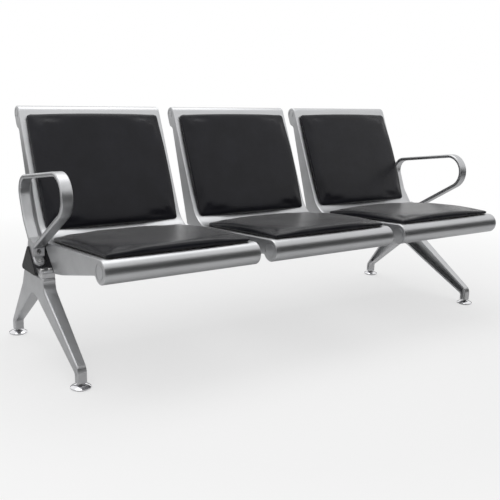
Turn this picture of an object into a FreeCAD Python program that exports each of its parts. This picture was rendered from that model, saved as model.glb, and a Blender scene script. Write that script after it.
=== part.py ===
import FreeCAD, Part
import math
import os

# A three-place waiting-area bench: three sheet-steel seats with stamped side plates and padded
# cushions stand on one triangular beam, which two cast Y legs and four levelling feet carry.
# Millimetres. X runs along the beam, the seats face -Y, Z is up and the floor is Z = 0.
# Side profiles are drawn as (y, z) from a line above the beam's ridge, the beam line.

# Layout along the beam
SEAT_COUNT = 3
SEAT_WIDTH = 514.0
SEAT_GAP = 58.0
LEG_PAST_SEATS = 21.0
BEAM_PAST_LEG = 19.0

# How near to a plane an edge must lie to be picked for rounding
PICK = 0.1

# Triangular beam
BEAM_BOTTOM_Z = 268.0
BEAM_BASE = 136.0
BEAM_HEIGHT = 88.0
BEAM_CORNER = 8.0
BEAM_WALL = 3.0
CAP_FLANGE = 3.0
CAP_PLUG = 14.0
CAP_WALL = 2.0
CAP_CLEARANCE = 0.3

# Side profile of a seat: two straight runs that meet at a bend under the sitter's hips
BEND_Y = -11.5
BEND_Z = 367.0
SEAT_TILT = 4.1
BACK_LEAN = 24.1
BEND_RADIUS = 100.0
SEAT_RUN = 441.0
BACK_RUN = 437.0
FRONT_ROLL_RADIUS = 35.5
FRONT_ROLL_WRAP = 245.0
HEAD_ROLL_RADIUS = 24.0
HEAD_ROLL_WRAP = 205.0
HEAD_DROP = 28.0
PANEL_THICKNESS = 2.0

# Stamped side plate: a shallow tray, open towards the middle of the seat
TRAY_DEPTH = 14.0
TRAY_SHEET = 2.5
TRAY_RIM_RADIUS = 4.0
BACK_BLADE_TOP = 34.0
BACK_BLADE_TOP_AT = 364.0
BACK_BLADE_ROOT = 77.0
SEAT_BLADE_FRONT = 46.0
SEAT_BLADE_FRONT_AT = 431.0
SEAT_BLADE_ROOT = 88.0
SEAT_BLADE_ROOT_AT = 156.0
SEAT_BLADE_CURVE = 40.0
PLATE_HEEL_AT = 103.0
PLATE_HEEL_Z = 281.0
PLATE_OVER_BEAM = 3.0
PLATE_TO_BEAM = 38.0
PLATE_CORNER = 12.0
ROLL_BLEND = 14.0
RING_GROOVE = 1.2
RING_WIDTH = 3.0
FRONT_RING_RADIUS = 23.0
HEAD_RING_RADIUS = 13.0

# Cushions, each on a plywood board
PAD_TO_SIDE = 18.0
PAD_CORNER = 12.0
PAD_BOW = 2.0
SEAT_PAD_FRONT = 449.0
SEAT_PAD_REAR = 42.0
BACK_PAD_BOTTOM = 30.0
BACK_PAD_TOP = 421.0
PAD_EDGE = 19.0
PAD_CROWN = 7.0
PAD_SIDE_STEPS = ((0.0, 6.0), (0.2, 2.0), (0.45, 0.0), (0.7, 1.5), (0.88, 5.0), (1.0, 12.0))
PAD_CROWN_STEPS = ((0.38, 30.0), (0.72, 62.0), (0.93, 104.0), (1.0, 150.0))
PAD_TO_PANEL = 0.35
PAD_TO_BEND = 0.25
BOARD_THICKNESS = 9.0
BOARD_INSET = 14.0
BOARD_CORNER = 6.0
BOARD_CLEARANCE = 0.3
PAD_SCREW_FROM_SIDE = 89.0
PAD_SCREW_INSET = 70.0
PAD_SCREW_RADIUS = 2.0
PAD_SCREW_BITE = 7.0
PAD_SCREW_HEAD = 4.5
PAD_SCREW_HEAD_HEIGHT = 2.2
HOLE_CLEARANCE = 0.25
TAPPED_CLEARANCE = 0.05

# Saddle brackets between seat and beam
BRACKET_FROM_SIDE = 61.0
BRACKET_SHEET = 5.0
BRACKET_REACH = 110.0
BRACKET_FOOT_TOP = 28.0
BRACKET_FOOT_BOTTOM = 88.0
BRACKET_FOOT_WIDTH = 36.0
BRACKET_REAR_Z = 312.0
BRACKET_BOLTS = (44.0, 74.0)
BRACKET_BOLT_SIDE = 21.0

# Cast loop armrests
ARM_WIDTH = 36.0
ARM_THICKNESS = 14.0
ARM_EDGE = 5.5
ARM_ROOT = (-19.0, 345.0)
ARM_KNEE = (45.0, 430.0)
ARM_TOP_REAR = (96.7, 557.9)
ARM_TOP_FRONT = (-287.0, 614.0)
ARM_NOSE = (-287.0, 503.0)
ARM_KNEE_RADIUS = 110.0
ARM_REAR_RADIUS = 50.0
ARM_NOSE_RADIUS = 64.0
ARM_CROTCH = (-8.0, 26.0)
ARM_BACK = (6.0, 10.0)
ARM_HEEL = (13.0, -17.0)
ARM_HEEL_INSIDE = (0.0, -36.0)
ARM_INSTEP = (-58.0, 15.0)
ARM_THROAT = (-38.0, 16.0)
ARM_INSTEP_DOWN = 28.0
ARM_INSTEP_RISE = 31.2
ARM_SHOE_DOWN = 50.0
ARM_ROOT_RADII = (6.0, 8.0, 2.0, 0, 0, 14.0, 20.0, 4.0, 8.0)
SHOE_THICKNESS = 12.0
SHOE_END = 80.0
ARM_SCREWS = (38.0, 64.0)

# Cast Y legs
ANKLE_FRONT = -358.0
ANKLE_REAR = 200.0
ANKLE_RADIUS = 13.0
ANKLE_SKIN = 1.0
ANKLE_BOTTOM_Z = 18.0
LEG_WEB = 10.0
LEG_WALL = 7.0
LEG_EDGE = 6.0
LEG_HEAD_WIDTH = 40.0
LEG_HEAD_DEPTH = 22.0
LEDGE_FRONT = -108.0
LEDGE_REAR = 66.0
LEG_SHIN_TOP_Z = 233.0
LEG_SHIN_BOTTOM_Z = 63.0
LEG_CALF_BOTTOM_Z = 42.0
LEG_ARCH = (-8.0, 211.0)
LEG_HEEL_INNER_Z = 49.5
LEG_HEEL_OUTER_Z = 50.0
LEG_HIP = (88.0, 215.0)
LEG_TOE_RADIUS = 8.0
LEG_KNEE_RADIUS = 40.0
LEG_SHIN_RADIUS = 30.0
LEG_CALF_RADIUS = 12.0
LEG_ARCH_RADIUS = 70.0
LEG_HEEL_RADIUS = 26.0
LEG_HIP_RADIUS = 70.0
CLAMP_FRONT = -106.0
CLAMP_HEIGHT = 22.0
CLAMP_TOE_GAP = 3.0
CLAMP_CLEARANCE = 0.05
CLAMP_EDGE = 1.0
CLAMP_NOSE_RADIUS = 8.0
CLAMP_BOLT_Y = -84.0
CLAMP_BOLT_SIDE = 12.0
HEAD_BOLT_YS = (16.0, 46.0)

# M8 bolts
BOLT_RADIUS = 4.0
BOLT_HEAD_RADIUS = 6.5
BOLT_HEAD_HEIGHT = 5.0
SOCKET_WIDTH = 5.0
SOCKET_DEPTH = 3.0
BOLT_PAST_WALL = 9.0
CLAMP_BOLT_LENGTH = 38.0
TAPPED_SPARE = 1.0

# Levelling feet
FOOT_RADIUS = 30.0
CUP_RIM_Z = 2.5
CUP_SHOULDER_Z = 6.0
CUP_TOP_Z = 13.4
CUP_TOP_RADIUS = 12.0
CUP_DOME_RISE = 1.2
SOLE_RADIUS = 26.5
SOLE_THICKNESS = 4.0
SOLE_CHAMFER = 1.0
SOLE_CLEARANCE = 0.3
STUD_RADIUS = 5.0
STUD_CLEARANCE = 0.06
STUD_TOP_Z = 62.0
STUD_CHAMFER = 1.0
STUD_BORE_TOP_Z = 66.0
SPANNER_WIDTH = 14.0
SPANNER_HEIGHT = 4.0
SWIVEL_RADIUS = 8.5
SWIVEL_CLEARANCE = 0.3
SWIVEL_HEIGHT = 4.6

seat_tilt = math.radians(SEAT_TILT)
back_lean = math.radians(BACK_LEAN)


def seat_point(along, below):
    """A side-profile point: so far forward of the bend on the seat, so far under its surface."""
    y = BEND_Y - along * math.cos(seat_tilt) - below * math.sin(seat_tilt)
    z = BEND_Z + along * math.sin(seat_tilt) - below * math.cos(seat_tilt)
    return (y, z)


def back_point(along, behind):
    """A side-profile point: so far up the back from the bend, so far behind its surface."""
    y = BEND_Y + along * math.sin(back_lean) + behind * math.cos(back_lean)
    z = BEND_Z + along * math.cos(back_lean) - behind * math.sin(back_lean)
    return (y, z)


front_roll_centre = seat_point(SEAT_RUN, FRONT_ROLL_RADIUS)
head_roll_centre = back_point(BACK_RUN, HEAD_ROLL_RADIUS)
front_reach = FRONT_ROLL_RADIUS - front_roll_centre[0]
rear_reach = max(ANKLE_REAR + FOOT_RADIUS, head_roll_centre[0] + HEAD_ROLL_RADIUS)

# The origin is the middle of the bench's depth, so the beam line lies behind it by this much
BEAM_LINE_Y = (front_reach - rear_reach) / 2

seat_pitch = SEAT_WIDTH + SEAT_GAP
leg_x = (SEAT_COUNT - 1) / 2 * seat_pitch + SEAT_WIDTH / 2 + LEG_PAST_SEATS
leg_face_x = leg_x + ANKLE_RADIUS + ANKLE_SKIN
beam_half_length = leg_x + BEAM_PAST_LEG
pad_width = SEAT_WIDTH - 2 * PAD_TO_SIDE
pad_screw_x = pad_width / 2 - PAD_SCREW_FROM_SIDE
bracket_x = SEAT_WIDTH / 2 - BRACKET_FROM_SIDE
ridge_z = BEAM_BOTTOM_Z + BEAM_HEIGHT
face_angle = math.degrees(math.atan2(BEAM_HEIGHT, BEAM_BASE / 2))
bend_angle = math.pi / 2 + back_lean - seat_tilt
bend_tangent = BEND_RADIUS / math.tan((math.pi - bend_angle) / 2 + (bend_angle - math.pi / 2))


def save(name, shape):
    """Write one sub-part, moved from the beam line to the bench's own origin."""
    placed = shape.copy()
    placed.translate(FreeCAD.Vector(0, BEAM_LINE_Y, 0))
    placed.exportStep("parts/" + name + ".step")


def at_x(x, point):
    """The 3-D point of a (y, z) profile point at x."""
    return FreeCAD.Vector(x, point[0], point[1])


def unit(start, end):
    """The direction from one (y, z) point to another, and the distance."""
    step = (end[0] - start[0], end[1] - start[1])
    length = math.hypot(step[0], step[1])
    return (step[0] / length, step[1] / length), length


def rounded_edges(points, radii, x=0.0):
    """Edges of a path through (y, z) points, each inner corner rounded by its radius."""
    edges = []
    last = points[0]
    for index in range(1, len(points) - 1):
        corner = points[index]
        back_way, _ = unit(corner, points[index - 1])
        next_way, _ = unit(corner, points[index + 1])
        radius = radii[index - 1]
        if radius == 0:
            edges.append(Part.LineSegment(at_x(x, last), at_x(x, corner)).toShape())
            last = corner
            continue
        cosine = back_way[0] * next_way[0] + back_way[1] * next_way[1]
        half_angle = math.acos(cosine) / 2
        tangent = radius / math.tan(half_angle)
        start = (corner[0] + back_way[0] * tangent, corner[1] + back_way[1] * tangent)
        end = (corner[0] + next_way[0] * tangent, corner[1] + next_way[1] * tangent)
        middle_way, _ = unit((0, 0), (back_way[0] + next_way[0], back_way[1] + next_way[1]))
        inset = radius / math.sin(half_angle) - radius
        middle = (corner[0] + middle_way[0] * inset, corner[1] + middle_way[1] * inset)
        if math.hypot(start[0] - last[0], start[1] - last[1]) > 0.001:
            edges.append(Part.LineSegment(at_x(x, last), at_x(x, start)).toShape())
        edges.append(Part.Arc(at_x(x, start), at_x(x, middle), at_x(x, end)).toShape())
        last = end
    edges.append(Part.LineSegment(at_x(x, last), at_x(x, points[-1])).toShape())
    return edges


def rounded_face(points, radii, x=0.0):
    """A closed (y, z) outline with rounded corners, as a face at x."""
    first = points[0]
    second = points[1]
    middle = ((first[0] + second[0]) / 2, (first[1] + second[1]) / 2)
    loop = [middle] + list(points[1:]) + [first, middle]
    turns = list(radii[1:]) + [radii[0]]
    return Part.Face(Part.Wire(rounded_edges(loop, turns, x)))


def slab(face, thickness):
    """The face pushed along +X."""
    return face.extrude(FreeCAD.Vector(thickness, 0, 0))


def disc_face(centre, radius, x=0.0):
    """A round face in the side view."""
    circle = Part.makeCircle(radius, at_x(x, centre), FreeCAD.Vector(1, 0, 0))
    return Part.Face(Part.Wire(circle))


def one_solid(shape):
    """The single solid of a boolean's result, without seams between flush faces."""
    clean = shape.removeSplitter()
    return clean.Solids[0]


def mirrored(shape):
    """The same piece on the other end of the bench."""
    return shape.mirror(FreeCAD.Vector(0, 0, 0), FreeCAD.Vector(1, 0, 0))


# Beam and its end caps


def beam_face(inset, x=0.0):
    """The beam's rounded triangle, drawn in by an inset."""
    half_corner = math.radians(face_angle) / 2
    half = BEAM_BASE / 2 - inset / math.tan(half_corner)
    bottom = BEAM_BOTTOM_Z + inset
    top = bottom + half * BEAM_HEIGHT / (BEAM_BASE / 2)
    radius = BEAM_CORNER - inset
    return rounded_face([(-half, bottom), (half, bottom), (0.0, top)], [radius] * 3, x)


def face_point(down, out):
    """A (y, z) point on the beam's front slope: so far down from the ridge, so far off it."""
    slope = math.radians(face_angle)
    y = -down * math.cos(slope) - out * math.sin(slope)
    z = ridge_z - down * math.sin(slope) + out * math.cos(slope)
    return (y, z)


def on_front_slope(shape):
    """Turn a shape drawn flat, up the slope along +Y, so that it lies on the front slope."""
    shape.rotate(FreeCAD.Vector(0, 0, 0), FreeCAD.Vector(1, 0, 0), face_angle)
    shape.translate(FreeCAD.Vector(0, 0, ridge_z))
    return shape


def slope_rod(x, down, radius, inner, outer):
    """A round bar square to the front slope, from a depth inside to a height outside."""
    rod = Part.makeCylinder(radius, inner + outer, FreeCAD.Vector(x, -down, -inner))
    return on_front_slope(rod)


def seat_centres():
    """The x of the middle of each seat."""
    middle = (SEAT_COUNT - 1) / 2
    return [(index - middle) * seat_pitch for index in range(SEAT_COUNT)]


def bracket_bolt_places():
    """The x and the distance down the slope of every seat bolt, seat by seat."""
    places = []
    for centre in seat_centres():
        row = []
        for side in (-1, 1):
            x = centre + side * (bracket_x - BRACKET_BOLT_SIDE)
            row += [(x, down) for down in BRACKET_BOLTS]
        places.append(row)
    return places


def clamp_bolt_xs():
    """The x of the two bolts across the +X leg's clamp."""
    middle = leg_face_x - LEG_HEAD_WIDTH / 2
    return [middle - CLAMP_BOLT_SIDE, middle + CLAMP_BOLT_SIDE]


def head_bolt_x():
    """The x of the two bolts up through the +X leg's head, midway across its channel."""
    return leg_face_x - (LEG_HEAD_WIDTH + LEG_WEB) / 2


def make_beam():
    """The hollow triangular beam with the holes for its bolts."""
    outer = slab(beam_face(0.0, -beam_half_length), 2 * beam_half_length)
    inner = slab(beam_face(BEAM_WALL, -beam_half_length), 2 * beam_half_length)
    hole = BOLT_RADIUS + HOLE_CLEARANCE
    holes = []
    for row in bracket_bolt_places():
        holes += [slope_rod(x, down, hole, 2 * BEAM_WALL, BEAM_WALL) for x, down in row]
    for side in (-1, 1):
        for down in ARM_SCREWS:
            holes.append(slope_rod(side * leg_x, down, hole, 2 * BEAM_WALL, BEAM_WALL))
        for y in HEAD_BOLT_YS:
            base = FreeCAD.Vector(side * head_bolt_x(), y, BEAM_BOTTOM_Z - BEAM_WALL)
            holes.append(Part.makeCylinder(hole, 3 * BEAM_WALL, base))
    return outer.cut(inner).cut(holes)


def make_cap():
    """A plastic end cap for the +X end: a flange with a hollow plug behind it."""
    flange = slab(beam_face(0.0, beam_half_length), CAP_FLANGE)
    start = beam_half_length - CAP_PLUG
    plug = slab(beam_face(BEAM_WALL + CAP_CLEARANCE, start), CAP_PLUG)
    bore = slab(beam_face(BEAM_WALL + CAP_CLEARANCE + CAP_WALL, start), CAP_PLUG)
    return one_solid(flange.fuse(plug.cut(bore)))


# Seat shell: the panel with its rolled front and head, and the stamped side plates


def turned(point, centre, degrees):
    """A (y, z) point turned about a centre."""
    angle = math.radians(degrees)
    y = point[0] - centre[0]
    z = point[1] - centre[1]
    new_y = centre[0] + y * math.cos(angle) - z * math.sin(angle)
    new_z = centre[1] + y * math.sin(angle) + z * math.cos(angle)
    return (new_y, new_z)


def bend_points(depth):
    """Start, middle and end of the bend between seat and back, at a depth under the surface."""
    start = seat_point(bend_tangent, 0.0)
    centre = seat_point(bend_tangent, -BEND_RADIUS)
    way, _ = unit(centre, start)
    radius = BEND_RADIUS + depth
    first = (centre[0] + way[0] * radius, centre[1] + way[1] * radius)
    sweep = 90.0 - BACK_LEAN + SEAT_TILT
    return first, turned(first, centre, sweep / 2), turned(first, centre, sweep)


def panel_edges(depth, x):
    """The panel's side profile from the front roll's lip to the head's lip, at a depth."""
    front_top = seat_point(SEAT_RUN, depth)
    front_mid = turned(front_top, front_roll_centre, FRONT_ROLL_WRAP / 2)
    front_lip = turned(front_top, front_roll_centre, FRONT_ROLL_WRAP)
    bend_start, bend_middle, bend_end = bend_points(depth)
    head_start = back_point(BACK_RUN, depth)
    head_mid = turned(head_start, head_roll_centre, -HEAD_ROLL_WRAP / 2)
    head_lip = turned(head_start, head_roll_centre, -HEAD_ROLL_WRAP)
    edges = [Part.Arc(at_x(x, front_lip), at_x(x, front_mid), at_x(x, front_top)).toShape()]
    edges.append(Part.LineSegment(at_x(x, front_top), at_x(x, bend_start)).toShape())
    edges.append(Part.Arc(at_x(x, bend_start), at_x(x, bend_middle), at_x(x, bend_end)).toShape())
    edges.append(Part.LineSegment(at_x(x, bend_end), at_x(x, head_start)).toShape())
    edges.append(Part.Arc(at_x(x, head_start), at_x(x, head_mid), at_x(x, head_lip)).toShape())
    return edges, front_lip, head_lip


def pad_screw_places(near, far):
    """Across and along positions of one cushion's four screws."""
    alongs = (near + PAD_SCREW_INSET, far - PAD_SCREW_INSET)
    return [(x, along) for x in (-pad_screw_x, pad_screw_x) for along in alongs]


def on_seat(shape, centre, along, above):
    """Place a shape drawn flat, rearwards along +Y, on the seat's surface."""
    shape.rotate(FreeCAD.Vector(0, 0, 0), FreeCAD.Vector(1, 0, 0), -SEAT_TILT)
    shape.translate(at_x(centre, seat_point(along, -above)))
    return shape


def on_back(shape, centre, along, front):
    """Place a shape drawn flat, up the back along +Y, on the back's surface."""
    shape.rotate(FreeCAD.Vector(0, 0, 0), FreeCAD.Vector(1, 0, 0), 90.0 - BACK_LEAN)
    shape.translate(at_x(centre, back_point(along, -front)))
    return shape


def pad_rods(centre, radius, bottom, height):
    """Eight round bars on the cushions' screw lines, square to the panel."""
    rods = []
    for x, along in pad_screw_places(SEAT_PAD_REAR, SEAT_PAD_FRONT):
        rod = Part.makeCylinder(radius, height)
        rods.append(on_seat(rod, centre + x, along, bottom))
    for x, along in pad_screw_places(BACK_PAD_BOTTOM, BACK_PAD_TOP):
        rod = Part.makeCylinder(radius, height)
        rods.append(on_back(rod, centre + x, along, bottom))
    return rods


def make_panel(centre):
    """Seat and back in one sheet, rolled over at the front and at the head."""
    half = SEAT_WIDTH / 2 - TRAY_DEPTH
    x = centre - half
    outer, outer_front, outer_head = panel_edges(0.0, x)
    inner, inner_front, inner_head = panel_edges(PANEL_THICKNESS, x)
    lips = [Part.LineSegment(at_x(x, outer_front), at_x(x, inner_front)).toShape()]
    lips.append(Part.LineSegment(at_x(x, outer_head), at_x(x, inner_head)).toShape())
    outline = Part.Wire(Part.__sortEdges__(outer + inner + lips))
    sheet = slab(Part.Face(outline), 2 * half)
    hole = PAD_SCREW_RADIUS + HOLE_CLEARANCE
    return sheet.cut(pad_rods(centre, hole, -2 * PANEL_THICKNESS, 3 * PANEL_THICKNESS))


def plate_outline():
    """The side plate's outline: blades along seat and back, a round nose and a capsule head."""
    over_beam = ridge_z + PLATE_OVER_BEAM
    root = back_point(0.0, BACK_BLADE_ROOT)
    blade = [
        seat_point(SEAT_RUN, 0.0),
        front_roll_centre,
        seat_point(SEAT_BLADE_FRONT_AT, SEAT_BLADE_FRONT),
        seat_point(SEAT_BLADE_ROOT_AT, SEAT_BLADE_ROOT),
        (BEND_Y - PLATE_HEEL_AT, PLATE_HEEL_Z),
        face_point(BEAM_HEIGHT, PLATE_TO_BEAM),
        (face_point(0.0, PLATE_TO_BEAM)[0], over_beam),
        (root[0], over_beam),
        back_point(BACK_BLADE_TOP_AT, BACK_BLADE_TOP),
        head_roll_centre,
        back_point(BACK_RUN, 0.0),
        (BEND_Y, BEND_Z),
    ]
    corners = [0, 0, 0, SEAT_BLADE_CURVE] + [PLATE_CORNER] * 4 + [0, 0, 0, BEND_RADIUS]
    lower = back_point(BACK_RUN - HEAD_DROP, HEAD_ROLL_RADIUS)
    waist = [
        back_point(BACK_RUN, 0.0),
        back_point(BACK_RUN, 2 * HEAD_ROLL_RADIUS),
        back_point(BACK_RUN - HEAD_DROP, 2 * HEAD_ROLL_RADIUS),
        back_point(BACK_RUN - HEAD_DROP, 0.0),
    ]
    areas = [rounded_face(waist, [0, 0, 0, 0])]
    areas.append(disc_face(front_roll_centre, FRONT_ROLL_RADIUS))
    areas.append(disc_face(head_roll_centre, HEAD_ROLL_RADIUS))
    areas.append(disc_face(lower, HEAD_ROLL_RADIUS))
    whole = slab(rounded_face(blade, corners), TRAY_DEPTH).fuse([slab(area, TRAY_DEPTH) for area in areas])
    whole = whole.removeSplitter()
    outline = min(whole.Faces, key=lambda face: face.CenterOfMass.x)
    return outline.makeOffset2D(ROLL_BLEND).makeOffset2D(-ROLL_BLEND)


def ring_groove(centre, radius, x):
    """A shallow ring pressed into the outer face of a side plate."""
    outer = slab(disc_face(centre, radius + RING_WIDTH / 2, x), RING_GROOVE)
    inner = slab(disc_face(centre, radius - RING_WIDTH / 2, x), RING_GROOVE)
    return outer.cut(inner)


def make_plate(centre, side):
    """A stamped side plate: a tray whose rim continues the panel's surface."""
    face = plate_outline()
    tray = slab(face, TRAY_DEPTH)
    rim = [edge for edge in tray.Edges if edge.BoundBox.XMin > TRAY_DEPTH - 0.1]
    tray = tray.makeFillet(TRAY_RIM_RADIUS, rim)
    hollow = slab(face.makeOffset2D(-TRAY_SHEET), TRAY_DEPTH - TRAY_SHEET)
    shell = tray.cut(hollow)
    face_x = TRAY_DEPTH - RING_GROOVE
    grooves = [ring_groove(front_roll_centre, FRONT_RING_RADIUS, face_x)]
    grooves.append(ring_groove(head_roll_centre, HEAD_RING_RADIUS, face_x))
    plate = one_solid(shell.cut(grooves))
    plate.translate(FreeCAD.Vector(SEAT_WIDTH / 2 - TRAY_DEPTH, 0, 0))
    if side < 0:
        plate = mirrored(plate)
    plate.translate(FreeCAD.Vector(centre, 0, 0))
    return plate


# Cushions and their boards


def pad_ring(width, length, corner, bow, height):
    """An outline at one height: round corners, and sides that draw in between them by the bow."""
    w = width / 2
    h = length / 2
    cut = corner * (1 - math.sqrt(0.5))
    v = FreeCAD.Vector
    stops = [
        (v(-w + corner, -h, height), v(0, -h + bow, height), v(w - corner, -h, height)),
        (v(w - corner, -h, height), v(w - cut, -h + cut, height), v(w, -h + corner, height)),
        (v(w, -h + corner, height), v(w - bow, 0, height), v(w, h - corner, height)),
        (v(w, h - corner, height), v(w - cut, h - cut, height), v(w - corner, h, height)),
        (v(w - corner, h, height), v(0, h - bow, height), v(-w + corner, h, height)),
        (v(-w + corner, h, height), v(-w + cut, h - cut, height), v(-w, h - corner, height)),
        (v(-w, h - corner, height), v(-w + bow, 0, height), v(-w, -h + corner, height)),
        (v(-w, -h + corner, height), v(-w + cut, -h + cut, height), v(-w + corner, -h, height)),
    ]
    edges = []
    for index, (first, middle, last) in enumerate(stops):
        straight = bow == 0 and index % 2 == 0
        curve = Part.LineSegment(first, last) if straight else Part.Arc(first, middle, last)
        edges.append(curve.toShape())
    return Part.Wire(edges)


def board_slab(length, grow, thickness):
    """A board with round corners, lying flat about the origin."""
    width = pad_width - 2 * BOARD_INSET + 2 * grow
    depth = length - 2 * BOARD_INSET + 2 * grow
    ring = pad_ring(width, depth, BOARD_CORNER + grow, 0.0, 0.0)
    return Part.Face(ring).extrude(FreeCAD.Vector(0, 0, thickness))


def crowned_pad(length):
    """A cushion lying flat: bulging sides up to the shoulder, then a crown that flattens out."""
    rings = []
    for share, inset in PAD_SIDE_STEPS:
        ring_corner = PAD_CORNER - inset / 2
        rings.append(pad_ring(pad_width - 2 * inset, length - 2 * inset, ring_corner, PAD_BOW, share * PAD_EDGE))
    for share, inset in PAD_CROWN_STEPS:
        height = PAD_EDGE + share * PAD_CROWN
        rings.append(pad_ring(pad_width - 2 * inset, length - 2 * inset, PAD_CORNER, PAD_BOW, height))
    return Part.makeLoft(rings, True, True)


def under_panel(centre):
    """A block under the panel's surface, for cutting a cushion's underside to the bend."""
    x = centre - SEAT_WIDTH / 2
    bend_start, bend_middle, bend_end = bend_points(-PAD_TO_BEND)
    low = seat_point(SEAT_RUN / 2, SEAT_RUN / 4)
    front = seat_point(SEAT_RUN / 2, -PAD_TO_BEND)
    high = back_point(BACK_RUN / 2, -PAD_TO_BEND)
    rear = back_point(BACK_RUN / 2, BACK_RUN / 4)
    edges = [Part.LineSegment(at_x(x, front), at_x(x, bend_start)).toShape()]
    edges.append(Part.Arc(at_x(x, bend_start), at_x(x, bend_middle), at_x(x, bend_end)).toShape())
    edges.append(Part.LineSegment(at_x(x, bend_end), at_x(x, high)).toShape())
    corners = [high, rear, (rear[0], low[1]), low, front]
    for start, end in zip(corners, corners[1:]):
        edges.append(Part.LineSegment(at_x(x, start), at_x(x, end)).toShape())
    return slab(Part.Face(Part.Wire(edges)), SEAT_WIDTH)


def make_cushions(centre):
    """Seat and back cushions with the pockets for their boards."""
    cushions = []
    spans = [(SEAT_PAD_REAR, SEAT_PAD_FRONT, on_seat), (BACK_PAD_BOTTOM, BACK_PAD_TOP, on_back)]
    for near, far, place in spans:
        length = far - near
        pocket = board_slab(length, BOARD_CLEARANCE, 2 * BOARD_THICKNESS)
        pocket.translate(FreeCAD.Vector(0, 0, BOARD_CLEARANCE - BOARD_THICKNESS))
        pad = crowned_pad(length).cut(pocket)
        placed = place(pad, centre, (near + far) / 2, PAD_TO_PANEL)
        cushions.append(one_solid(placed.cut(under_panel(centre))))
    return cushions


def make_boards(centre):
    """The plywood boards that the cushions are upholstered on, flat on the panel."""
    hole = PAD_SCREW_RADIUS + TAPPED_CLEARANCE
    rods = pad_rods(centre, hole, -1.0, PAD_SCREW_BITE + 1.0)
    boards = []
    spans = [(SEAT_PAD_REAR, SEAT_PAD_FRONT, on_seat), (BACK_PAD_BOTTOM, BACK_PAD_TOP, on_back)]
    for near, far, place in spans:
        board = board_slab(far - near, 0.0, BOARD_THICKNESS)
        placed = place(board, centre, (near + far) / 2, PAD_TO_PANEL)
        trimmed = placed.cut(under_panel(centre))
        boards.append(one_solid(trimmed.cut(rods)))
    return boards


def make_pad_screws(centre):
    """Eight pan-head screws from behind the panel into the boards."""
    shanks = pad_rods(centre, PAD_SCREW_RADIUS, -PANEL_THICKNESS, PANEL_THICKNESS + PAD_SCREW_BITE - 0.5)
    below = -PANEL_THICKNESS - PAD_SCREW_HEAD_HEIGHT
    heads = pad_rods(centre, PAD_SCREW_HEAD, below, PAD_SCREW_HEAD_HEIGHT)
    return Part.makeCompound([one_solid(head.fuse(shank)) for head, shank in zip(heads, shanks)])


# Saddle brackets


def make_bracket(centre, side):
    """A gusset under the bend with a foot on the beam's front slope."""
    x = centre + side * bracket_x - BRACKET_SHEET / 2
    bend_start, bend_middle, bend_end = bend_points(PANEL_THICKNESS)
    nose = seat_point(BRACKET_REACH, PANEL_THICKNESS)
    top = back_point(BRACKET_REACH, PANEL_THICKNESS)
    rear = ((ridge_z - BRACKET_REAR_Z) * BEAM_BASE / 2 / BEAM_HEIGHT, BRACKET_REAR_Z)
    toe = face_point(BRACKET_FOOT_BOTTOM, 0.0)
    inside = (0.0, BRACKET_REAR_Z - BEAM_HEIGHT / 4)
    edges = [Part.LineSegment(at_x(x, nose), at_x(x, bend_start)).toShape()]
    edges.append(Part.Arc(at_x(x, bend_start), at_x(x, bend_middle), at_x(x, bend_end)).toShape())
    corners = [bend_end, top, rear, inside, toe, face_point(BRACKET_FOOT_BOTTOM, BRACKET_SHEET), nose]
    for start, end in zip(corners, corners[1:]):
        edges.append(Part.LineSegment(at_x(x, start), at_x(x, end)).toShape())
    gusset = slab(Part.Face(Part.Wire(edges)), BRACKET_SHEET)
    length = BRACKET_FOOT_BOTTOM - BRACKET_FOOT_TOP
    start_x = x if side < 0 else x + BRACKET_SHEET - BRACKET_FOOT_WIDTH
    corner = FreeCAD.Vector(start_x, -BRACKET_FOOT_BOTTOM, 0)
    foot = on_front_slope(Part.makeBox(BRACKET_FOOT_WIDTH, length, BRACKET_SHEET, corner))
    beam = slab(beam_face(0.0, x - seat_pitch), 2 * seat_pitch)
    bracket = gusset.fuse(foot).cut(beam)
    hole = BOLT_RADIUS + HOLE_CLEARANCE
    bolt_x = centre + side * (bracket_x - BRACKET_BOLT_SIDE)
    holes = [slope_rod(bolt_x, down, hole, BRACKET_SHEET, 2 * BRACKET_SHEET) for down in BRACKET_BOLTS]
    return one_solid(bracket.cut(holes))


# Fasteners


def cap_bolt(length):
    """A socket-head bolt along +Z, its head above the origin and its shank below."""
    shank = Part.makeCylinder(BOLT_RADIUS, length, FreeCAD.Vector(0, 0, -length))
    head = Part.makeCylinder(BOLT_HEAD_RADIUS, BOLT_HEAD_HEIGHT)
    head = head.makeChamfer(BOLT_HEAD_HEIGHT / 5, [head.Edges[0]])
    corner = SOCKET_WIDTH / math.sqrt(3)
    points = []
    for index in range(7):
        turn = math.radians(60 * index)
        points.append(FreeCAD.Vector(corner * math.cos(turn), corner * math.sin(turn), BOLT_HEAD_HEIGHT))
    socket = Part.Face(Part.makePolygon(points)).extrude(FreeCAD.Vector(0, 0, -SOCKET_DEPTH))
    return one_solid(head.fuse(shank).cut(socket))


def slope_bolt(x, down, seat):
    """A bolt square to the beam's front slope with its head on a seat above it."""
    bolt = cap_bolt(seat + BOLT_PAST_WALL)
    bolt.translate(FreeCAD.Vector(x, -down, seat))
    return on_front_slope(bolt)


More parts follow.
